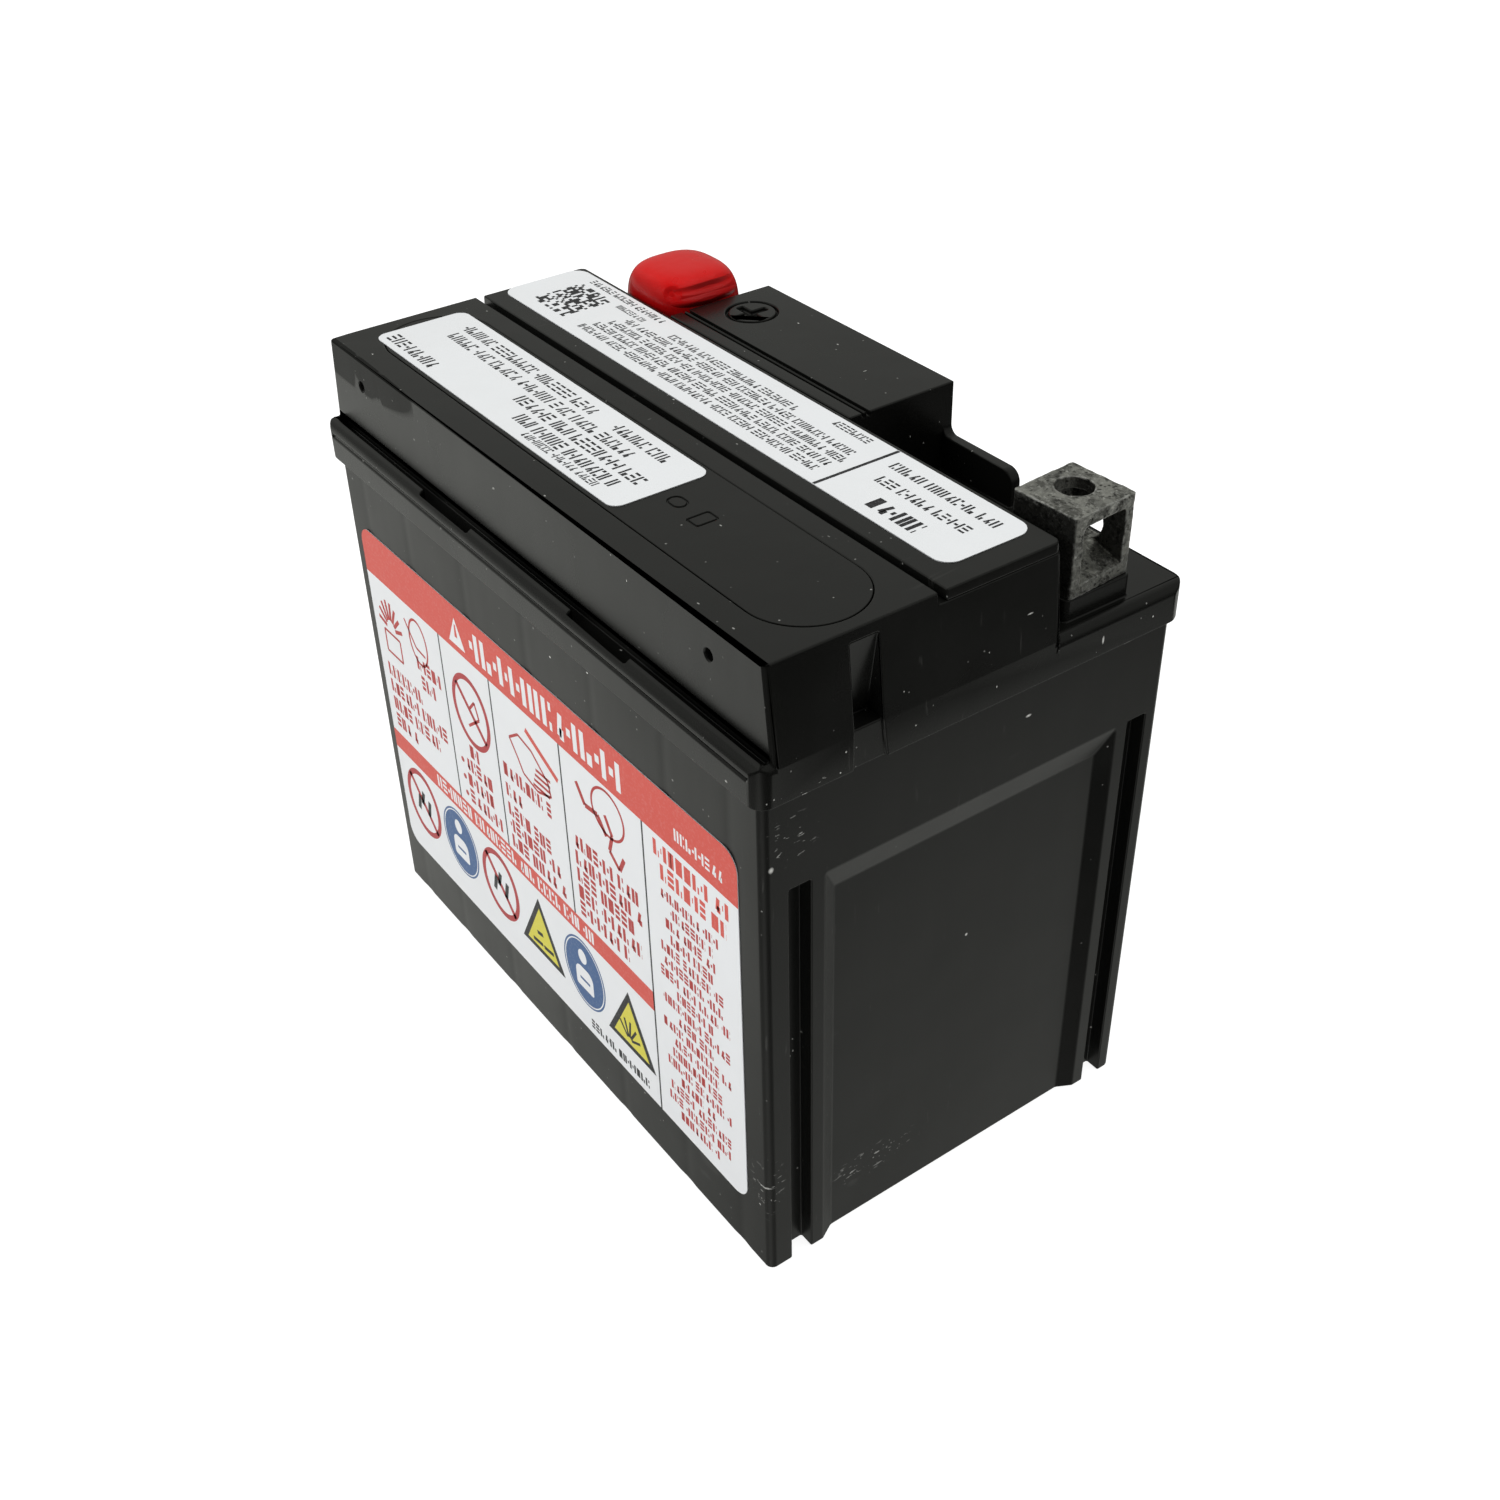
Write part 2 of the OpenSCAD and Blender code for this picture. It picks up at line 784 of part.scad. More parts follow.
module front_label() {
    color("#f4f5f7")
    along_y(-half_w - label_t, -half_w)
        translate([-1, 42.3])
            rounded_rect(103.4, 64.2, 3);
}

module strip_label() {
    color("#f4f5f7")
    translate([-18.3, strip_y, top_z])
        linear_extrude(label_t)
            rounded_rect(67, 15.2, 1.8);
}

module plate_label() {
    color("#f4f5f7")
    translate([-1.8, 4.15, top_z])
        linear_extrude(label_t)
            rounded_rect(106.8, 14.5, 2.5);
}

container();
cover();
vent_plate();
flame_arrestors();
sealing_plug_strip();
for (i = [1 : cell_count]) {
    relief_valve(i);
    positive_plates(i);
    negative_plates(i);
    separators(i);
}
for (i = [1 : cell_count - 1])
    cell_link(i);
negative_terminal();
positive_terminal();
pole(neg_pole_x, neg_y);  // negative_pole
pole(pos_pole_x, pos_y);  // positive_pole
pole_seal(neg_pole_x, neg_y);  // negative_pole_seal
pole_seal(pos_pole_x, pos_y);  // positive_pole_seal
red_terminal_cap();
front_label();
strip_label();
plate_label();
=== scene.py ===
"""Looks of the sealed motorcycle battery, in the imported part's own frame (metres, +Z up)."""

import math
import random

import bmesh
import bpy
from mathutils import Matrix, Vector


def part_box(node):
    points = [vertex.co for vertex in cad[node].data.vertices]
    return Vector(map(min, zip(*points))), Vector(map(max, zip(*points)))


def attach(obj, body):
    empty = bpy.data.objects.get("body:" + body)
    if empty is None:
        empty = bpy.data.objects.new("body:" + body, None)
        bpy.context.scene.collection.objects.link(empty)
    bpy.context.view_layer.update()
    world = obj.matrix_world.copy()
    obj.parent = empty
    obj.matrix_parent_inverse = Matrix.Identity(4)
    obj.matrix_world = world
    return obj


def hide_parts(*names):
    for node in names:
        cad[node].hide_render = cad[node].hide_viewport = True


MM = 0.001

# ---- camera ----

# place in metres; angles in degrees, azimuth 0 looks along +Y and 90 along -X
CAMERA_POS = (0.18967, -0.12877, 0.21601)
CAMERA_AZIMUTH = 55.04
CAMERA_DOWN = 36.70
CAMERA_ROLL = -1.45
# focal length and sensor width in millimetres
CAMERA_LENS = 43.35
CAMERA_SENSOR = 36


def make_camera():
    """Camera of the main view: from the front right, a good way above the battery."""
    az, down, roll = (math.radians(a) for a in (CAMERA_AZIMUTH, CAMERA_DOWN, CAMERA_ROLL))
    forward = Vector((-math.sin(az) * math.cos(down), math.cos(az) * math.cos(down), -math.sin(down)))
    level = Vector((math.cos(az), math.sin(az), 0))
    upright = level.cross(forward)
    right = level * math.cos(roll) + upright * math.sin(roll)
    up = (-forward).cross(right)
    data = bpy.data.cameras.new("camera")
    data.lens = CAMERA_LENS
    data.sensor_width = CAMERA_SENSOR
    data.clip_start = 10 * MM
    camera = bpy.data.objects.new("camera", data)
    turn = Matrix((right, up, -forward)).transposed().to_4x4()
    camera.matrix_world = Matrix.Translation(CAMERA_POS) @ turn
    bpy.context.scene.collection.objects.link(camera)
    bpy.context.scene.camera = camera


make_camera()
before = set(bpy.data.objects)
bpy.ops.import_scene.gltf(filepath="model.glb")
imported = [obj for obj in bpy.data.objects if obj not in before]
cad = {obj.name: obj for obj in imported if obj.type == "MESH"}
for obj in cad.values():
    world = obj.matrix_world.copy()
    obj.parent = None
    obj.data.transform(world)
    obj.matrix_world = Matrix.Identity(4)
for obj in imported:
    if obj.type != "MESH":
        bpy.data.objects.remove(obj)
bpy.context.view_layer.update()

# ---- materials ----


def rgb(r, g, b):
    """A colour for a node's socket."""
    return (r, g, b, 1.0)


DUST = rgb(0.74, 0.74, 0.70)
FILM_WHITE = rgb(0.78, 0.79, 0.80)


class Nodes:
    """Short way to build one material's node tree."""

    def __init__(self, name):
        self.material = bpy.data.materials.new(name)
        self.material.use_nodes = True
        self.tree = self.material.node_tree
        self.surface = self.tree.nodes["Principled BSDF"]
        self.coords = self.add("ShaderNodeTexCoord").outputs["Object"]

    def add(self, kind, inputs=None, **settings):
        node = self.tree.nodes.new(kind)
        for key, value in settings.items():
            setattr(node, key, value)
        for key, value in (inputs or {}).items():
            self.put(node.inputs[key], value)
        return node

    def put(self, socket, value):
        if isinstance(value, bpy.types.NodeSocket):
            self.tree.links.new(value, socket)
        else:
            socket.default_value = value

    def set(self, **inputs):
        for key, value in inputs.items():
            self.put(self.surface.inputs[key.replace("_", " ")], value)

    def math(self, operation, *values, clamp=False):
        node = self.add("ShaderNodeMath", operation=operation, use_clamp=clamp)
        for socket, value in zip(node.inputs, values):
            self.put(socket, value)
        return node.outputs[0]

    def scaled(self, factors):
        return self.add("ShaderNodeMapping", {"Vector": self.coords, "Scale": factors}).outputs[0]

    def noise(self, scale, detail=3.0, roughness=0.5, vector=None, distortion=0.0):
        node = self.add(
            "ShaderNodeTexNoise",
            {
                "Vector": vector or self.coords,
                "Scale": scale,
                "Detail": detail,
                "Roughness": roughness,
                "Distortion": distortion,
            },
        )
        return node.outputs["Fac"]

    def ramp(self, value, low, high, out_low=0.0, out_high=1.0):
        """Maps low..high to out_low..out_high and holds still outside."""
        node = self.add(
            "ShaderNodeMapRange",
            {"Value": value, "From Min": low, "From Max": high, "To Min": out_low, "To Max": out_high},
        )
        return node.outputs[0]

    def mix(self, factor, a, b):
        node = self.add("ShaderNodeMix", data_type="RGBA")
        self.put(node.inputs[0], factor)
        self.put(node.inputs[6], a)
        self.put(node.inputs[7], b)
        return node.outputs[2]

    def specks(self, scale, radius, share, seed=0.0, stretch=(1.0, 1.0, 1.0)):
        """Small dots, 1 inside and 0 outside, in a share of the cells of a grid."""
        shifted = self.add(
            "ShaderNodeVectorMath", {0: self.scaled(stretch), 1: (seed, seed, seed)}, operation="ADD"
        )
        cells = self.add("ShaderNodeTexVoronoi", {"Vector": shifted.outputs[0], "Scale": scale})
        chance = self.add("ShaderNodeSeparateColor", {"Color": cells.outputs["Color"]}).outputs[0]
        inside = self.ramp(cells.outputs["Distance"], radius, radius * 0.6)
        return self.math("MULTIPLY", inside, self.math("LESS_THAN", chance, share))

    def scratches(self, scale, stretch, low, high):
        """Thin lines of light wear, drawn out along one direction."""
        return self.ramp(self.noise(scale, 2.0, 0.6, self.scaled(stretch), 0.4), low, high)

    def near(self, centre, radius, reach=(1.0, 1.0, 1.0)):
        """1 close to a point (millimetres), fading to 0 at the radius; reach stretches each axis."""
        full = 0.35
        middle = [c * MM for c in centre]
        place = self.add("ShaderNodeVectorMath", {0: self.coords, 1: middle}, operation="SUBTRACT")
        wide = self.add("ShaderNodeVectorMath", {0: place.outputs[0], 1: reach}, operation="DIVIDE")
        length = self.add("ShaderNodeVectorMath", {0: wide.outputs[0]}, operation="LENGTH")
        return self.ramp(length.outputs["Value"], radius * MM, radius * full * MM)

    def facing(self, axis):
        """How far the surface faces along one axis (0, 1, 2), from -1 to 1."""
        geometry = self.add("ShaderNodeNewGeometry")
        return self.add("ShaderNodeSeparateXYZ", {0: geometry.outputs["Normal"]}).outputs[axis]

    def bump(self, height, distance, normal=None):
        node = self.add("ShaderNodeBump", {"Height": height, "Distance": distance, "Strength": 1.0})
        if normal is not None:
            self.put(node.inputs["Normal"], normal)
        return node.outputs[0]


def plastic(name, colour, rough, gloss, scuffs=(), crumbs=(), smear=None):
    """Moulded black plastic: faint grain, dust flecks, hairline scratches, dull patches."""
    n = Nodes(name)
    flecks = n.specks(300, 0.08, 0.20, 0.0, (1.0, 1.9, 1.5))
    grit = n.specks(760, 0.12, 0.16, 3.1)
    fibres = n.specks(150, 0.05, 0.12, 7.7, (4.2, 0.9, 1.5))
    dust = n.math("MAXIMUM", n.math("MAXIMUM", flecks, fibres), n.math("MULTIPLY", grit, 0.4))
    gathered = n.ramp(n.noise(40, 3.0, 0.6), 0.40, 0.60, 0.2, 1.0)
    dust = n.math("MULTIPLY", dust, gathered, clamp=True)
    hair = n.math(
        "MAXIMUM",
        n.scratches(90, (1.0, 14.0, 1.6), 0.68, 0.76),
        n.scratches(80, (13.0, 1.0, 2.2), 0.69, 0.77),
    )
    marks = n.math("MULTIPLY", hair, n.ramp(n.noise(14, 2.0), 0.46, 0.58))
    scrape = n.math(
        "MAXIMUM",
        n.scratches(520, (1.0, 1.0, 3.6), 0.63, 0.68),
        n.specks(1500, 0.24, 0.12, 1.7),
    )
    for place in scuffs:
        local = n.math("MULTIPLY", scrape, n.near(*place))
        dust = n.math("MAXIMUM", dust, n.math("MULTIPLY", local, 0.6))
    for place in crumbs:
        dust = n.math("MAXIMUM", dust, n.near(*place))
    patch = n.ramp(n.noise(26, 4.0, 0.6), 0.35, 0.7)
    film = n.mix(patch, rgb(*colour), rgb(*(c * 1.4 + 0.001 for c in colour)))
    worn = n.mix(n.math("MULTIPLY", marks, 0.22), film, rgb(0.12, 0.12, 0.112))
    dusty = n.mix(n.math("MULTIPLY", dust, 0.8), worn, DUST)
    roughness = n.math(
        "ADD",
        n.ramp(patch, 0.0, 1.0, rough - 0.03, rough + 0.05),
        n.math("MULTIPLY", dust, 0.3),
    )
    specular = gloss
    if smear:
        # a film of grime with a wavy lower edge dulls one stretch of a wall
        edge = n.noise(170, 3.0, 0.5, n.scaled((1.0, 1.0, 0.4)))
        wet = n.math("MULTIPLY", n.near(*smear), n.ramp(edge, 0.34, 0.44, 0.4, 1.0))
        wet = n.ramp(wet, 0.24, 0.42)
        specular = n.ramp(wet, 0.0, 1.0, gloss, gloss * 0.12)
        roughness = n.math("MULTIPLY", roughness, n.ramp(wet, 0.0, 1.0, 1.0, 0.5))
    streaks = n.noise(1.0, 2.0, 0.5, n.scaled((95.0, 95.0, 9.0)))
    sag = n.bump(n.math("ADD", n.noise(32, 2.0), n.math("MULTIPLY", streaks, 0.35)), 0.00022)
    grain = n.bump(n.noise(5200, 2.0), 0.000004, sag)
    n.set(Base_Color=dusty, Roughness=roughness, Specular_IOR_Level=specular, Normal=grain)
    return n.material


def lead(name):
    """Cast lead: mottled grey, dark oxide, a painted shade on the front side, bright scraped spots, pits.
    """
    n = Nodes(name)
    broad = n.noise(380, 5.0, 0.72, distortion=0.8)
    fine = n.noise(1500, 4.0, 0.72)
    pits = n.specks(1400, 0.34, 0.30)
    tone = n.mix(n.ramp(broad, 0.42, 0.58), rgb(0.15, 0.15, 0.135), rgb(0.54, 0.54, 0.50))
    tone = n.mix(n.ramp(fine, 0.54, 0.66, 0.0, 0.85), tone, DUST)
    dark = n.ramp(n.noise(700, 4.0, 0.7), 0.55, 0.64, 0.0, 0.8)
    tone = n.mix(dark, tone, rgb(0.05, 0.05, 0.044))
    tone = n.mix(n.math("MULTIPLY", pits, 0.75), tone, rgb(0.02, 0.02, 0.018))
    # painted shade: faces turned towards the front (-Y) are painted near black where the cover shades them;
    # sharp edges carry bright burrs
    tone = n.mix(n.ramp(n.facing(1), -0.55, -0.85, 0.0, 0.78), tone, rgb(0.012, 0.012, 0.010))
    sharp = n.ramp(n.add("ShaderNodeNewGeometry").outputs["Pointiness"], 0.508, 0.55)
    burrs = n.math("MULTIPLY", sharp, n.ramp(n.noise(900, 3.0), 0.40, 0.58))
    tone = n.mix(n.math("MULTIPLY", burrs, 0.85), tone, rgb(0.86, 0.86, 0.82))
    height = n.math("ADD", n.math("MULTIPLY", fine, 0.7), n.math("MULTIPLY", pits, -0.4))
    lumps = n.bump(n.noise(520, 3.0, 0.6), 0.0004)
    n.set(
        Base_Color=tone,
        Metallic=n.ramp(broad, 0.35, 0.6, 0.75, 0.95),
        Roughness=n.ramp(fine, 0.3, 0.7, 0.52, 0.3),
        Normal=n.bump(height, 0.00022, lumps),
    )
    return n.material


def red_vinyl():
    """Dipped soft vinyl: saturated red with painted shade on the sides, wet gloss, a slightly rippled skin.
    """
    n = Nodes("red_vinyl")
    ripple = n.noise(150, 2.0, 0.5)
    # painted shade: the sides are a darker red than the top, set by how far each face turns up
    tint = n.mix(n.ramp(n.facing(2), 0.1, 0.85), rgb(0.36, 0.001, 0.002), rgb(0.60, 0.006, 0.006))
    tint = n.mix(n.ramp(ripple, 0.35, 0.7, 0.0, 0.25), tint, rgb(0.66, 0.014, 0.014))
    dust = n.specks(620, 0.07, 0.12)
    # a soft fold along the upper edge of the +X side and a puckered spot at the corner
    folds = n.math(
        "SUBTRACT",
        n.near((-31.9, 20.0, 105.0), 6.5, (0.5, 1.0, 0.13)),
        n.near((-32.6, 20.6, 106.6), 6.0, (0.5, 1.0, 0.12)),
    )
    pucker = n.near((-33.4, 14.8, 106.3), 1.5, (1.0, 1.0, 0.8))
    folds = n.math("SUBTRACT", folds, n.math("MULTIPLY", pucker, 0.8))
    n.set(
        Base_Color=n.mix(n.math("MULTIPLY", dust, 0.4), tint, rgb(0.85, 0.4, 0.36)),
        Roughness=n.ramp(ripple, 0.3, 0.7, 0.26, 0.34),
        Specular_IOR_Level=0.2,
        Coat_Weight=0.2,
        Coat_Roughness=0.05,
        Subsurface_Weight=0.08,
        Subsurface_Scale=0.002,
        Normal=n.bump(ripple, 0.0003, n.bump(folds, 0.0005)),
    )
    return n.material


def paper_film():
    """Coated white label film with faint grey soiling and a soft sheen."""
    n = Nodes("label_film")
    soil = n.ramp(n.noise(60, 5.0, 0.65), 0.45, 0.8, 0.0, 0.10)
    tint = n.mix(soil, rgb(0.80, 0.815, 0.83), rgb(0.55, 0.55, 0.53))
    dust = n.specks(500, 0.05, 0.12)
    n.set(
        Base_Color=n.mix(n.math("MULTIPLY", dust, 0.35), tint, rgb(0.2, 0.2, 0.2)),
        Roughness=n.ramp(n.noise(400, 2.0), 0.3, 0.7, 0.34, 0.44),
        Specular_IOR_Level=0.4,
        Normal=n.bump(n.noise(70, 3.0), 0.00012),
    )
    return n.material


def ink(name, colour, thin=0.12):
    """Printed ink: small variations where the film shows through."""
    n = Nodes("ink_" + name)
    worn = n.ramp(n.noise(2600, 3.0, 0.6), 0.5, 0.8, 0.0, thin)
    broad = n.ramp(n.noise(55, 3.0), 0.35, 0.7, 0.0, 0.10)
    tint = n.mix(broad, rgb(*colour), rgb(*(min(1.0, c * 1.15 + 0.012) for c in colour)))
    n.set(
        Base_Color=n.mix(worn, tint, FILM_WHITE),
        Roughness=0.42,
        Specular_IOR_Level=0.35,
        Normal=n.bump(n.noise(70, 3.0), 0.00012),
    )
    return n.material


def rubber(name, colour):
    """Moulded rubber with a faint bloom."""
    n = Nodes(name)
    bloom = n.ramp(n.noise(700, 4.0), 0.4, 0.8, 0.0, 0.4)
    n.set(
        Base_Color=n.mix(bloom, rgb(*colour), rgb(*(c * 2.2 + 0.01 for c in colour))),
        Roughness=n.ramp(bloom, 0.0, 0.4, 0.55, 0.75),
        Normal=n.bump(n.noise(3000, 2.0), 0.00002),
    )
    return n.material


def paste(name, colour, spread):
    """Cured plate paste: grainy, with darker and lighter patches."""
    n = Nodes(name)
    broad = n.ramp(n.noise(180, 5.0, 0.7), 0.3, 0.7)
    tint = n.mix(broad, rgb(*colour), rgb(*(c * spread for c in colour)))
    n.set(Base_Color=tint, Roughness=0.85, Normal=n.bump(n.noise(2500, 4.0), 0.00008))
    return n.material


def glass_mat():
    """Fibrous white mat between the plates."""
    n = Nodes("glass_mat")
    fibre = n.noise(900, 5.0, 0.8, n.scaled((1.0, 3.0, 1.0)))
    tint = n.mix(fibre, rgb(0.62, 0.62, 0.58), rgb(0.85, 0.85, 0.82))
    n.set(Base_Color=tint, Roughness=0.95, Normal=n.bump(fibre, 0.0002))
    return n.material


# where the plastic is scraped: centre and radius in millimetres, reach along each axis
CASE_SCUFFS = [
    ((54.6, -14.0, 9.5), 7.0, (1.0, 1.4, 0.45)),
    ((54.9, -33.2, 17.0), 4.6, (0.9, 0.6, 1.5)),
    ((55.9, -29.6, 78.5), 4.4, (0.8, 1.1, 1.0)),
]
COVER_SCUFFS = [
    ((57.0, -27.0, 85.8), 4.2, (0.5, 1.7, 0.4)),
]
# single bright crumbs and fibres, in the same form
CASE_CRUMBS = [
    ((55.8, -32.6, 75.1), 0.5, (1.0, 0.9, 1.1)),
    ((54.6, 1.5, 45.0), 0.3, (1.0, 1.0, 1.0)),
    ((55.9, 8.6, 80.0), 0.35, (1.0, 1.6, 0.7)),
]
COVER_CRUMBS = [
    ((57.0, 19.8, 87.7), 0.8, (1.0, 0.28, 0.9)),
    ((57.0, 24.6, 85.3), 0.8, (1.0, 1.3, 0.25)),
    ((56.2, 6.9, 96.4), 0.6, (1.0, 1.0, 0.22)),
]
case_black = plastic("case_black", (0.0046, 0.0047, 0.0042), 0.34, 0.5, CASE_SCUFFS, CASE_CRUMBS)
# the dull film at the upper left of the raised front wall
COVER_SMEAR = ((-50.0, -32.9, 103.6), 17.0, (1.7, 0.08, 0.36))
cover_colour = (0.0040, 0.0041, 0.0036)
cover_black = plastic("cover_black", cover_colour, 0.27, 0.5, COVER_SCUFFS, COVER_CRUMBS, COVER_SMEAR)
strip_black = plastic("strip_black", (0.0044, 0.0045, 0.0040), 0.33, 0.48)
terminal_lead = lead("terminal_lead")
inner_lead = lead("inner_lead")
label_film = paper_film()
inks = {
    "red": ink("red", (0.66, 0.085, 0.062)),
    "text_red": ink("text_red", (0.46, 0.035, 0.032), 0.1),
    "ring_red": ink("ring_red", (0.44, 0.035, 0.040), 0.1),
    "white": ink("white", (0.80, 0.81, 0.82), 0.05),
    "black": ink("black", (0.018, 0.018, 0.02), 0.1),
    "blue": ink("blue", (0.05, 0.12, 0.28)),
    "yellow": ink("yellow", (0.68, 0.62, 0.055)),
}
INK_NAMES = list(inks)


def paint(names, material):
    """Gives each of these nodes one material."""
    for name in names:
        obj = cad[name]
        obj.data.materials.clear()
        obj.data.materials.append(material)


def numbered(prefix, count):
    """Names of the nodes prefix_1 to prefix_count."""
    return [f"{prefix}_{i}" for i in range(1, count + 1)]


paint(["container"], case_black)
paint(["cover", "vent_plate"], cover_black)
paint(["sealing_plug_strip"], strip_black)
paint(["negative_terminal", "positive_terminal"], terminal_lead)
paint(["negative_pole", "positive_pole"] + numbered("cell_link", 5), inner_lead)
paint(["front_label", "strip_label", "plate_label"], label_film)
paint(numbered("relief_valve", 6), rubber("valve_rubber", (0.03, 0.03, 0.032)))
paint(["negative_pole_seal", "positive_pole_seal"], rubber("seal_rubber", (0.015, 0.015, 0.015)))
paint(numbered("positive_plates", 6), paste("positive_paste", (0.13, 0.06, 0.04), 1.7))
paint(numbered("negative_plates", 6), paste("negative_paste", (0.22, 0.23, 0.25), 1.5))
paint(["flame_arrestors"], paste("porous_ceramic", (0.5, 0.47, 0.4), 1.3))
paint(numbered("separators", 6), glass_mat())

# ---- softened edges of the moulded pieces ----


def soften(name, width, limit=18.7):
    """Rounds a moulded piece's edges by width (millimetres) where they turn more than limit (degrees)."""
    obj = cad[name]
    weld = obj.modifiers.new("weld", "WELD")
    weld.merge_threshold = 0.002 * MM
    flat = obj.modifiers.new("flat", "DECIMATE")
    flat.decimate_type = "DISSOLVE"
    flat.angle_limit = math.radians(0.6)
    bevel = obj.modifiers.new("edges", "BEVEL")
    bevel.width = width * MM
    bevel.segments = 3
    bevel.limit_method = "ANGLE"
    bevel.angle_limit = math.radians(limit)
    bevel.use_clamp_overlap = False
    bevel.miter_outer = "MITER_ARC"
    normals = obj.modifiers.new("normals", "WEIGHTED_NORMAL")
    normals.keep_sharp = False
    normals.weight = 100


soften("container", 0.25, limit=12)
soften("cover", 0.25)
soften("vent_plate", 0.25)
soften("sealing_plug_strip", 0.12)

# ---- cast terminals ----


def roughen(name):
    """Turns the sharp block into a cast one: soft edges, an uneven skin."""
    obj = cad[name]
    grid = obj.modifiers.new("grid", "REMESH")
    grid.mode = "VOXEL"
    grid.voxel_size = 0.13 * MM
    soft = obj.modifiers.new("soft", "SMOOTH")
    soft.factor = 0.5
    soft.iterations = 1
    skin = bpy.data.textures.new(name + "_skin", "CLOUDS")
    skin.noise_scale = 1.6 * MM
    skin.noise_depth = 2
    dents = obj.modifiers.new("dents", "DISPLACE")
    dents.texture = skin
    dents.texture_coords = "LOCAL"
    dents.strength = 0.2 * MM
    dents.mid_level = 0.42
    for polygon in obj.data.polygons:
        polygon.use_smooth = True


roughen("negative_terminal")
roughen("positive_terminal")

# ---- red cap ----


def squircle(angle, half_l, half_w, power):
    """Point of a rounded rectangle, given as a superellipse."""
    c, s = math.cos(angle), math.sin(angle)
    return (
        half_l * math.copysign(abs(c) ** (2 / power), c),
        half_w * math.copysign(abs(s) ** (2 / power), s),
    )


def link(name, bm, materials, body):
    """Makes an object from a finished mesh and lets it ride on a body."""
    mesh = bpy.data.meshes.new(name)
    bm.normal_update()
    bm.to_mesh(mesh)
    bm.free()
    for material in materials:
        mesh.materials.append(material)
    obj = bpy.data.objects.new(name, mesh)
    bpy.context.scene.collection.objects.link(obj)
    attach(obj, body)
    return obj


def make_red_cap():
    """Dipped vinyl cap: a soft pillow outside, a plain socket inside."""
    low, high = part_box("red_terminal_cap")
    centre = (low + high) / 2
    half_l, half_w = (high.x - low.x) / 2, (high.y - low.y) / 2
    base, top = low.z, high.z
    wall = 1.35 * MM
    cavity_top = top - 1.5 * MM
    around = 96
    # rings up the skin: share of the half width, share of the height, corner power
    outside = [
        (0.96, 0.0, 3.6),
        (0.98, 0.03, 3.6),
        (1.0, 0.15, 3.6),
        (1.01, 0.35, 3.5),
        (1.01, 0.55, 3.4),
        (1.0, 0.68, 3.3),
        (0.975, 0.78, 3.2),
        (0.93, 0.86, 3.0),
        (0.86, 0.92, 2.9),
        (0.77, 0.96, 2.8),
        (0.64, 0.985, 2.7),
        (0.46, 0.998, 2.6),
        (0.25, 1.0, 2.4),
    ]
    # rings down the socket, in the same form
    inside = [(0.3, 1.0, 4.0), (0.93, 1.0, 4.6), (1.0, 0.96, 4.6), (1.0, 0.5, 4.6), (1.0, 0.0, 4.6)]
    crown = 1.002
    bm = bmesh.new()

    def ring(ring_l, ring_w, z, power):
        row = []
        for k in range(around):
            angle = 2 * math.pi * (k + 0.5) / around
            x, y = squircle(angle, ring_l, ring_w, power)
            sway = 0.16 * MM * math.sin(3 * angle + 0.7) * (1 - (z - base) / (top - base))
            row.append(bm.verts.new((centre.x + x, centre.y + y, z + sway)))
        return row

    rows = []
    for share, height, power in inside:
        z = base + height * (cavity_top - base)
        rows.append(ring((half_l - wall) * share, (half_w - wall) * share, z, power))
    for share, height, power in outside:
        rows.append(ring(half_l * share, half_w * share, base + height * (top - base), power))
    for a, b in zip(rows, rows[1:]):
        for k in range(around):
            bm.faces.new((a[k], a[(k + 1) % around], b[(k + 1) % around], b[k]))
    for row, z in ((rows[0], cavity_top), (rows[-1], base + crown * (top - base))):
        middle = bm.verts.new((centre.x, centre.y, z))
        for k in range(around):
            bm.faces.new((row[k], row[(k + 1) % around], middle))
    bmesh.ops.recalc_face_normals(bm, faces=bm.faces)
    for face in bm.faces:
        face.smooth = True
    obj = link("red_cap", bm, [red_vinyl()], "red_cap")
    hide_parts("red_terminal_cap")
    smooth = obj.modifiers.new("smooth", "SUBSURF")
    smooth.levels = smooth.render_levels = 1


make_red_cap()

# ---- print on the labels ----


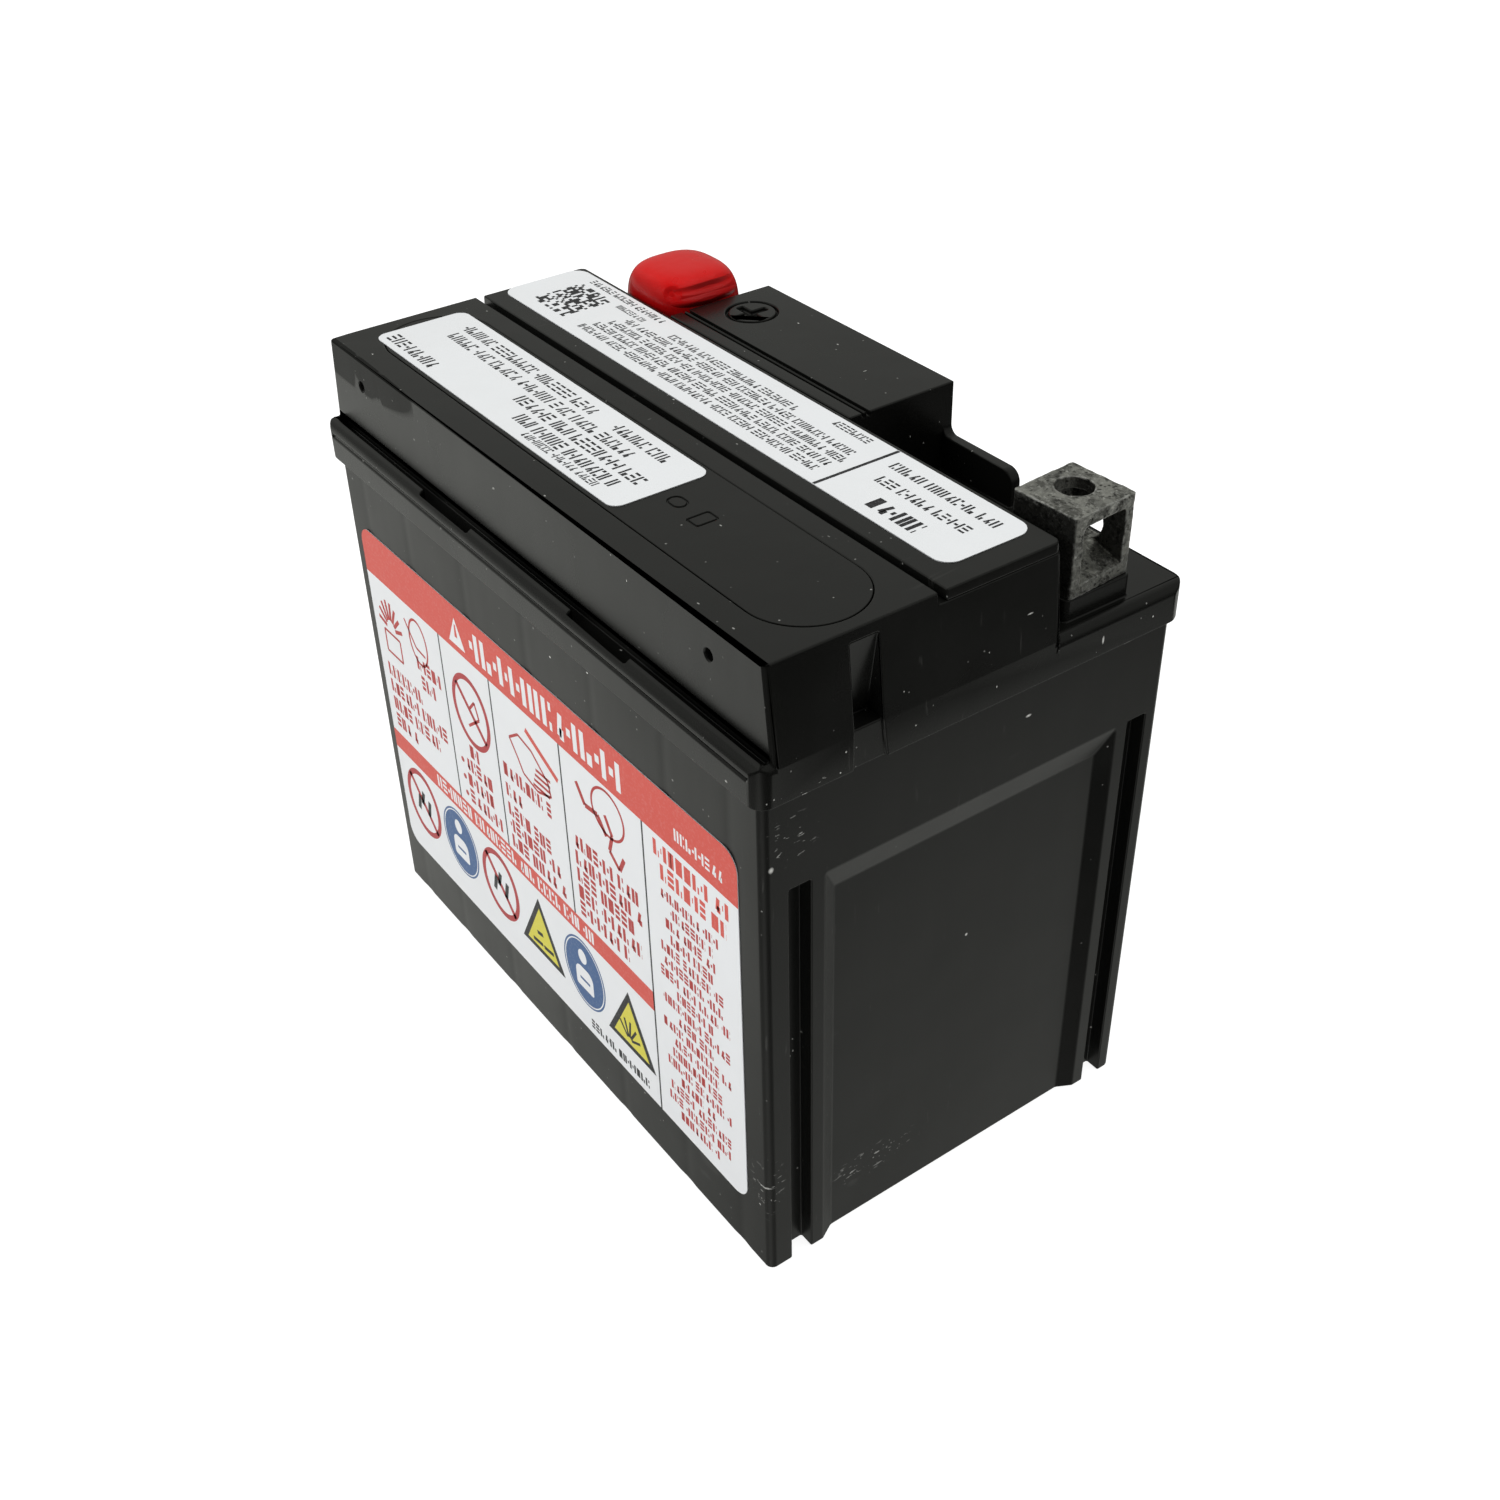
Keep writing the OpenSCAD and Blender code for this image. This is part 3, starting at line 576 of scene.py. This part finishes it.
class Print:
    """Flat printed shapes, each a very thin closed solid on a label's face.

    Places are millimetres along the label (u) and up it (v). A higher layer lies over a lower one.
    """

    LAYER = 0.012 * MM

    def __init__(self, origin, across, up, seed):
        self.bm = bmesh.new()
        self.origin = Vector(origin)
        self.across = Vector(across)
        self.up = Vector(up)
        self.normal = self.across.cross(self.up)
        self.random = random.Random(seed)

    def point(self, u, v, h):
        return self.bm.verts.new(
            self.origin + self.across * (u * MM) + self.up * (v * MM) + self.normal * (h * self.LAYER)
        )

    def loop(self, points, h):
        return [self.point(u, v, h) for u, v in points]

    def shape(self, colour, points, layer=1):
        """A filled outline, given anticlockwise."""
        index = INK_NAMES.index(colour)
        low, high = self.loop(points, 0), self.loop(points, layer)
        count = len(points)
        faces = [self.bm.faces.new(high), self.bm.faces.new(low[::-1])]
        for k in range(count):
            m = (k + 1) % count
            faces.append(self.bm.faces.new((low[k], low[m], high[m], high[k])))
        for face in faces:
            face.material_index = index

    def band(self, colour, outer, inner, layer=1):
        """The space between two outlines with the same number of points."""
        index = INK_NAMES.index(colour)
        loops = [self.loop(outer, 0), self.loop(outer, layer), self.loop(inner, layer), self.loop(inner, 0)]
        count = len(outer)
        for a, b in zip(loops, loops[1:] + loops[:1]):
            for k in range(count):
                m = (k + 1) % count
                self.bm.faces.new((a[k], a[m], b[m], b[k])).material_index = index

    def rect(self, colour, u0, v0, u1, v1, layer=1):
        """A filled box between two corners."""
        self.shape(colour, [(u0, v0), (u1, v0), (u1, v1), (u0, v1)], layer)

    def oval(self, colour, u, v, ru, rv, layer=1):
        """A filled oval with radii ru and rv."""
        self.shape(colour, oval_points(u, v, ru, rv), layer)

    def ring(self, colour, u, v, ru, rv, t, layer=1):
        """An oval outline of width t."""
        self.band(colour, oval_points(u, v, ru, rv), oval_points(u, v, ru - t, rv - t), layer)

    def stroke(self, colour, a, b, t, layer=1):
        """A straight line of width t from a to b."""
        along = Vector(b) - Vector(a)
        side = Vector((-along.y, along.x)).normalized() * (t / 2)
        a, b = Vector(a), Vector(b)
        self.shape(colour, [tuple(p) for p in (a - side, b - side, b + side, a + side)], layer)

    def path(self, colour, points, t, layer=1):
        """Straight lines of width t from point to point."""
        for a, b in zip(points, points[1:]):
            self.stroke(colour, a, b, t, layer)

    def words(self, colour, u0, u1, v, height, weight=0.17, layer=1, fill=None):
        """A row of plain strokes that stands for a line of text."""
        rnd = self.random
        t = height * weight
        u = u0
        while u < u1 - height * 0.4:
            for _ in range(fill or rnd.randint(3, 8)):
                width = height * rnd.uniform(0.46, 0.62)
                if u + width > u1:
                    return
                self.glyph(colour, u, v, width, height, t, layer)
                u += width + height * 0.17
            u += height * 0.34

    def glyph(self, colour, u, v, width, height, t, layer):
        """Two or three short bars in one character's place; not a letter."""
        kind = self.random.randint(0, 5)
        right = u + width
        if kind == 0:
            self.rect(colour, u, v, u + t, v + height, layer)
            self.rect(colour, right - t, v, right, v + height, layer)
        elif kind == 1:
            self.rect(colour, u, v, u + t, v + height, layer)
            for low in (v, v + height - 1.3 * t):
                self.rect(colour, u + 1.7 * t, low, right, low + 1.3 * t, layer)
        elif kind == 2:
            for share in (0.0, 0.41, 0.82):
                low = v + height * share
                self.rect(colour, u, low, right, low + t, layer)
        elif kind == 3:
            self.rect(colour, u, v, u + t, v + height, layer)
            self.rect(colour, u + 1.5 * t, v, right, v + height * 0.42, layer)
        elif kind == 4:
            self.rect(colour, right - t, v, right, v + height, layer)
            low = v + height * 0.36
            self.rect(colour, u, low, right - 1.5 * t, low + 1.2 * t, layer)
        else:
            self.stroke(colour, (u + t, v + 0.4 * t), (right - 0.6 * t, v + height - 0.4 * t), t, layer)
            self.rect(colour, right - t, v, right, v + height * 0.4, layer)

    def finish(self, name, body):
        """Turns the shapes into one object that rides on a body."""
        link(name, self.bm, list(inks.values()), body)


def oval_points(u, v, ru, rv, count=64):
    """Points around an oval, anticlockwise."""
    return [
        (u + ru * math.cos(2 * math.pi * k / count), v + rv * math.sin(2 * math.pi * k / count))
        for k in range(count)
    ]


def rounded(u0, v0, u1, v1, corners, steps=10):
    """Rectangle with a radius per corner, from low left, anticlockwise."""
    centres = [(u0, v0, 1, 1), (u1, v0, -1, 1), (u1, v1, -1, -1), (u0, v1, 1, -1)]
    points = []
    for i, ((u, v, su, sv), r) in enumerate(zip(centres, corners)):
        if r == 0:
            points.append((u, v))
            continue
        for k in range(steps + 1):
            angle = math.pi * (1 + i / 2) + math.pi / 2 * k / steps
            points.append((u + su * r + r * math.cos(angle), v + sv * r + r * math.sin(angle)))
    return points


def text_rows(p, start, rows, height=2.5):
    """Red rows that share their left edge: where each one stands and ends."""
    for v, row_end in rows:
        p.words("text_red", start, row_end, v, height, 0.26)


def front_heading(p):
    """On the bands: a plain white triangle and bold white bars."""
    p.shape("white", [(-24.4, 67.2), (-19.4, 67.2), (-21.9, 72.2)], 2)
    p.shape("red", [(-22.3, 68.7), (-21.5, 68.7), (-21.7, 71.0), (-22.1, 71.0)], 3)
    p.words("white", -17.6, 25.6, 67.4, 4.9, 0.23, 2, 14)
    p.words("white", 36.6, 47.6, 67.9, 2.0, 0.2, 2, 10)
    p.words("white", -37.2, 12.4, 31.3, 2.4, 0.22, 2)


def front_column_1(p):
    """A burst over a box, a round outline and text."""
    u, v = -46.6, 57.2
    for angle in range(15, 170, 22):
        c, s = math.cos(math.radians(angle)), math.sin(math.radians(angle))
        p.stroke("text_red", (u + 1.5 * c, v + 2 * s), (u + 4.2 * c, v + 5.6 * s), 0.7)
    p.path("text_red", [(-49.3, 56.4), (-43.9, 56.4), (-43.9, 52.2), (-49.3, 52.2), (-49.3, 56.4)], 0.45)
    p.ring("text_red", -36.6, 60.0, 3.2, 4.4, 0.45)
    p.path("text_red", [(-40.8, 62.6), (-37.6, 58.6), (-34.6, 58.2)], 0.45)
    p.words("text_red", -38.2, -30.0, 54.4, 2.5, 0.26, 1, 6)
    p.words("text_red", -37.4, -31.2, 50.8, 2.5, 0.26, 1, 4)
    text_rows(p, -50.4, [(46.9, -36.6), (43.5, -29.6), (39.9, -33.6), (36.3, -42.0)])


def front_column_2(p):
    """A crossed ring over a short list with dots."""
    p.ring("ring_red", -20.3, 55.7, 5.9, 6.8, 1.0)
    p.stroke("ring_red", (-24.4, 59.6), (-16.2, 51.8), 0.9)
    p.path("text_red", [(-21.6, 52.6), (-17.8, 55.6), (-18.8, 58.4), (-20.6, 56.4)], 0.5)
    p.words("text_red", -22.6, -18.2, 45.9, 2.5, 0.26, 1, 3)
    dot = 0.5
    for v, row_end in ((42.6, -15.6), (39.2, -15.6), (35.8, -14.0)):
        p.oval("text_red", -25.8, v + 2 * dot, dot, dot)
        p.words("text_red", -24.6, row_end, v, 2.5, 0.26, 1, 8)


def front_column_3(p):
    """An outline with short lines across it, a slanted bar and text."""
    outline = [(-8.0, 58.4), (-5.2, 60.4), (-1.4, 59.6), (2.8, 56.4), (3.4, 54.0), (-0.6, 52.6)]
    p.path("text_red", outline + [(-4.6, 53.6), (-6.0, 55.8), (-8.0, 58.4)], 0.45)
    for k in range(4):
        p.stroke("text_red", (-1.8 + 0.4 * k, 53.4 + 1.1 * k), (3.0 + 0.2 * k, 53.6 + 1.1 * k), 0.5)
    p.stroke("red", (-2.6, 62.8), (6.0, 58.6), 1.0)
    text_rows(p, -11.2, [(49.6, 3.4), (45.6, -4.8), (41.8, 1.8), (38.6, 5.6), (35.4, 6.4)])


def front_column_4(p):
    """A round outline with two bent lines, and text."""
    p.ring("text_red", 19.6, 61.2, 4.4, 4.2, 0.45)
    p.path("text_red", [(11.4, 62.0), (13.4, 59.0), (16.8, 59.4), (18.8, 56.8)], 0.9)
    p.path("text_red", [(18.8, 60.6), (20.4, 57.8), (19.4, 54.6), (21.8, 52.6), (23.2, 55.4)], 0.8)
    text_rows(p, 9.2, [(48.9, 27.0), (45.6, 27.2), (42.3, 27.0), (39.0, 27.0), (35.7, 23.6)], 2.6)


def front_column_5(p):
    """Two bold rows over a narrow block of centred small text."""
    for v, start, row_end in ((62.2, 31.2, 48.8), (58.6, 32.6, 48.2)):
        p.words("red", start, row_end, v, 2.7, 0.28)
    middle, top, pitch = 39.6, 55.4, 2.5
    halves = [7.4, 5.0, 6.4, 5.4, 7.9, 7.6, 8.4, 4.6, 8.2, 4.8, 8.5, 6.2, 6.6, 8.0, 4.8, 7.6, 8.2, 5.4]
    for k, half in enumerate(halves):
        p.words("text_red", middle - half, middle + half, top - pitch * k, 1.7, 0.26)


def symbol_crossed(p, u, v, ru, rv):
    """Crossed red ring around three slanted bars."""
    p.ring("ring_red", u, v, ru, rv, 1.1)
    p.stroke("ring_red", (u - 4.1, v + 4.6), (u + 4.1, v - 4.6), 1.0)
    for du, dv, length in ((-2.2, -0.6, 3.4), (-0.6, 1.0, 3.0), (1.5, -0.2, 3.6)):
        low, high = v + dv - length / 2, v + dv + length / 2
        p.stroke("black", (u + du, low), (u + du + 0.9, high), 1.0)


def symbol_disc(p, u, v, ru, rv):
    """Blue disc with a thin white ring and plain white shapes."""
    p.oval("blue", u, v, ru, rv)
    p.ring("white", u, v, ru - 0.35, rv - 0.35, 0.22, 2)
    p.oval("white", u - 0.2, v + 3.3, 1.2, 1.4, 2)
    p.shape("white", rounded(u - 2.6, v - 3.6, u + 2.4, v + 0.9, (0.5, 0.5, 1.6, 1.6)), 2)
    p.rect("blue", u - 1.4, v - 1.9, u + 1.4, v - 1.4, 3)


def symbol_triangle(p, u, base, half, height):
    """Yellow triangle with a black border."""
    p.shape("black", [(u - half, base), (u + half, base), (u, base + height)])
    border, foot, peak = 1.0, 1.75, 2.1
    inner = [(u - half + foot, base + border), (u + half - foot, base + border), (u, base + height - peak)]
    p.shape("yellow", inner, 2)


def front_symbols(p):
    """The row of blank symbols along the bottom, and one row of black text."""
    middle, ru, rv = 22.6, 6.0, 6.9
    for u in (-44.7, -17.9):
        symbol_crossed(p, u, middle, ru, rv)
    for u in (-31.4, 8.2):
        symbol_disc(p, u, middle, ru, rv)
    base = 16.4
    for u in (-5.0, 21.1):
        symbol_triangle(p, u, base, 6.6, 12.2)
    for start, dv, length in ((-8.0, 1.9, 3.0), (-6.4, 4.2, 1.8), (-4.6, 2.2, 3.0)):
        p.stroke("black", (start, base + dv), (start + length, base + dv + 0.4), 0.75, 3)
    u, v = 20.6, 18.2
    for angle in (20, 50, 80, 110, 140):
        c, s = math.cos(math.radians(angle)), math.sin(math.radians(angle))
        p.stroke("black", (u + 0.6 * c, v + 0.6 * s), (u + 3.2 * c, v + 4.2 * s), 0.5, 3)
    p.words("black", 9.0, 26.2, 11.7, 1.7, 0.26)


def make_front_print():
    """Front label: two red bands, five ruled columns and a row of symbols."""
    low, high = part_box("front_label")
    p = Print((0, low.y, 0), (1, 0, 0), (0, 0, 1), 11)
    left, right = low.x / MM, high.x / MM
    bottom, top = low.z / MM, high.z / MM
    radius = 3.0
    band_low = 66.0
    stripe_low, stripe_high = 30.6, 34.4
    last_rule = 28.6
    rule_half = 0.18

    p.shape("red", rounded(left, band_low, right, top, (0, 0, radius, radius)))
    p.rect("red", left, stripe_low, last_rule, stripe_high)
    for rule in (-28.5, -12.8, 7.2, last_rule):
        rule_low = bottom if rule == last_rule else stripe_high
        p.rect("black", rule - rule_half, rule_low, rule + rule_half, band_low)
    front_heading(p)
    front_column_1(p)
    front_column_2(p)
    front_column_3(p)
    front_column_4(p)
    front_column_5(p)
    front_symbols(p)
    p.finish("front_print", "battery")


def make_strip_print():
    """Strip label: rows of black strokes."""
    p = Print((0, 0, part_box("strip_label")[1].z), (1, 0, 0), (0, 1, 0), 23)
    p.words("black", -50.2, -36.2, -25.9, 2.2, 0.18, 1, 9)
    for v, start, row_end in ((-15.4, -46.0, -8.0), (-15.4, -4.0, 9.0), (-18.4, -45.0, 5.0)):
        p.words("black", start, row_end, v, 2.0, 0.17)
    for k, (v, height) in enumerate(((-21.4, 2.1), (-24.4, 2.1), (-26.0, 1.3))):
        p.words("black", -20.0 + 5 * k, 13.0 - 2 * k, v, height, 0.18)
    p.finish("strip_print", "plug_strip")


def make_plate_print():
    """Plate label: a rule, a patch of dots and rows of black strokes."""
    low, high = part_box("plate_label")
    p = Print((0, 0, high.z), (1, 0, 0), (0, 1, 0), 37)
    front, rear = low.y / MM, high.y / MM
    rule, rule_half, rule_gap = 25.5, 0.28, 0.1
    p.rect("black", rule - rule_half, front + rule_gap, rule + rule_half, rear - rule_gap)
    # a patch of loose square dots, in no code's pattern
    cell, count, share = 0.51, 18, 0.54
    for i in range(count):
        for j in range(count):
            if p.random.random() < share:
                u, v = -49.6 + i * cell, -0.85 + j * cell
                p.rect("black", u, v, u + cell * 0.98, v + cell * 0.98)
    p.words("black", -49.2, -28.4, 9.4, 1.3, 0.19)
    p.words("black", -38.4, -30.8, 7.4, 1.1, 0.19)
    p.words("black", -24.0, 8.0, 7.4, 1.45, 0.19)
    for k, row_end in enumerate((23.0, 23.4, 23.2, 23.4)):
        p.words("black", -33.0 - k, row_end, 5.3 - 2.1 * k, 1.45, 0.19)
    p.words("black", 13.4, 22.0, 9.2, 1.4, 0.19, 1, 8)
    p.words("black", 33.8, 43.2, -1.3, 2.7, 0.25, 1, 6)
    p.words("black", 29.6, 47.0, 3.6, 1.8, 0.19)
    p.words("black", 27.9, 49.2, 7.4, 1.8, 0.19)
    p.finish("plate_print", "battery")


make_front_print()
make_strip_print()
make_plate_print()

# ---- floor, light ----

# the surroundings' light: direction, angles where a patch starts and is full, strength
SKY = [
    ((0, 0, 1), 180, 0, 0.055),
    ((-0.86, -0.30, -0.42), 32, 12, 0.70),
    ((-0.70, 0.42, 0.58), 60, 26, 0.29),
    ((0.42, 0.50, -0.76), 24, 12, 0.40),
    ((0.05, 0.56, -0.83), 16, 7, 0.30),
    ((-0.02, 0.85, -0.52), 15, 6, 0.85),
    ((0.0, -0.25, -0.97), 50, 30, 0.25),
    ((0.38, -0.54, -0.73), 22, 8, 0.3),
    ((0.60, 0.46, 0.66), 50, 20, 0.2),
    ((-0.66, -0.60, 0.46), 42, 15, 0.25),
]


def make_floor():
    """Plain white floor around the origin; it lights the battery but isn't mirrored in it."""
    mesh = bpy.data.meshes.new("floor")
    half = 4.0
    corners = [(-half, -half, 0), (half, -half, 0), (half, half, 0), (-half, half, 0)]
    mesh.from_pydata(corners, [], [(0, 1, 2, 3)])
    floor = bpy.data.objects.new("floor", mesh)
    bpy.context.scene.collection.objects.link(floor)
    floor.visible_glossy = False
    n = Nodes("floor_white")
    n.set(
        Base_Color=rgb(0.35, 0.35, 0.35),
        Roughness=0.9,
        Specular_IOR_Level=0.1,
        Emission_Color=rgb(1, 1, 1),
        Emission_Strength=0.9,
    )
    mesh.materials.append(n.material)


def area_light(name, place, target, size, power):
    """A soft lamp that aims at a target and isn't mirrored in the battery."""
    data = bpy.data.lights.new(name, "AREA")
    data.shape = "RECTANGLE"
    data.size, data.size_y = size
    data.energy = power
    lamp = bpy.data.objects.new(name, data)
    lamp.location = place
    lamp.rotation_euler = (Vector(target) - Vector(place)).to_track_quat("-Z", "Y").to_euler()
    lamp.visible_glossy = False
    bpy.context.scene.collection.objects.link(lamp)


def sky_patch(tree, direction, toward, wide, narrow, strength):
    """Light that is full within a narrow angle of one direction and gone at the wide one."""
    dot = tree.nodes.new("ShaderNodeVectorMath")
    dot.operation = "DOT_PRODUCT"
    tree.links.new(direction, dot.inputs[0])
    dot.inputs[1].default_value = Vector(toward).normalized()
    fade = tree.nodes.new("ShaderNodeMapRange")
    fade.interpolation_type = "SMOOTHSTEP"
    tree.links.new(dot.outputs["Value"], fade.inputs["Value"])
    fade.inputs["From Min"].default_value = math.cos(math.radians(wide))
    fade.inputs["From Max"].default_value = math.cos(math.radians(narrow))
    fade.inputs["To Min"].default_value = 0.0
    fade.inputs["To Max"].default_value = strength
    return fade.outputs["Result"]


def make_light():
    """Adds up the patches of the surroundings and hangs two soft lamps."""
    world = bpy.data.worlds.new("studio")
    bpy.context.scene.world = world
    world.use_nodes = True
    tree = world.node_tree
    direction = tree.nodes.new("ShaderNodeTexCoord").outputs["Generated"]
    total = None
    for patch in SKY:
        value = sky_patch(tree, direction, *patch)
        if total is None:
            total = value
            continue
        add = tree.nodes.new("ShaderNodeMath")
        tree.links.new(total, add.inputs[0])
        tree.links.new(value, add.inputs[1])
        total = add.outputs[0]
    background = tree.nodes["Background"]
    background.inputs["Color"].default_value = rgb(0.985, 1.0, 0.94)
    tree.links.new(total, background.inputs["Strength"])
    battery = (0, 0, 0.05)
    area_light("key", (-0.35, -1.05, 0.75), battery, (0.9, 0.7), 8)
    area_light("top", (0.1, 0.25, 1.3), battery, (1.0, 1.0), 11.5)
    bpy.context.scene.view_settings.view_transform = "Standard"


make_floor()
make_light()
